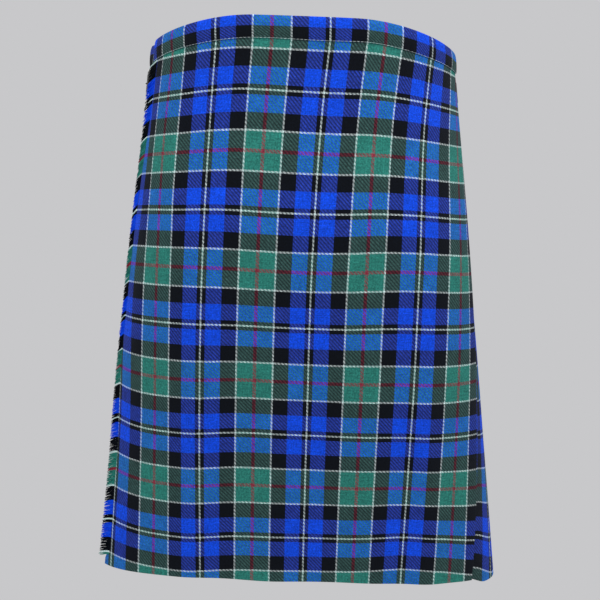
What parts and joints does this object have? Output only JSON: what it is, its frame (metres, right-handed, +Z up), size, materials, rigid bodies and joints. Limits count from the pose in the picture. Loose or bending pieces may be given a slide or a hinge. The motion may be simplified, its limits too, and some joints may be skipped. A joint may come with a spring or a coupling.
{
  "type": "scottish kilt",
  "caption": "worn Scottish kilt in blue, green and black tartan: fringed over apron, under apron, knife-pleated back, waistband and a leather strap and buckle at each hip",
  "frame": {"origin": "the centre of the waist opening, level with the top edge at the middle of the front", "axes": "+Z up, -Y the front, +X the wearer's left"},
  "size_m": [0.4692, 0.2962, 0.6242],
  "materials": {
    "tartan": "worsted wool twill in a traditional blue, green and black tartan with fine red and white lines",
    "black_leather": "smooth black strap leather",
    "nickel": "polished nickel plate"
  },
  "bodies": {
    "root": {"over_apron": "tartan", "under_apron": "tartan", "pleats": "tartan", "waistband_over": "tartan", "waistband_back": "tartan", "waistband_under": "tartan", "fringe": "tartan", "strap_left": "black_leather", "strap_right": "black_leather", "buckle_tab_left": "black_leather", "buckle_tab_right": "black_leather", "buckle_left": "nickel", "buckle_right": "nickel", "prong_left": "nickel", "prong_right": "nickel"}
  },
  "joints": []
}
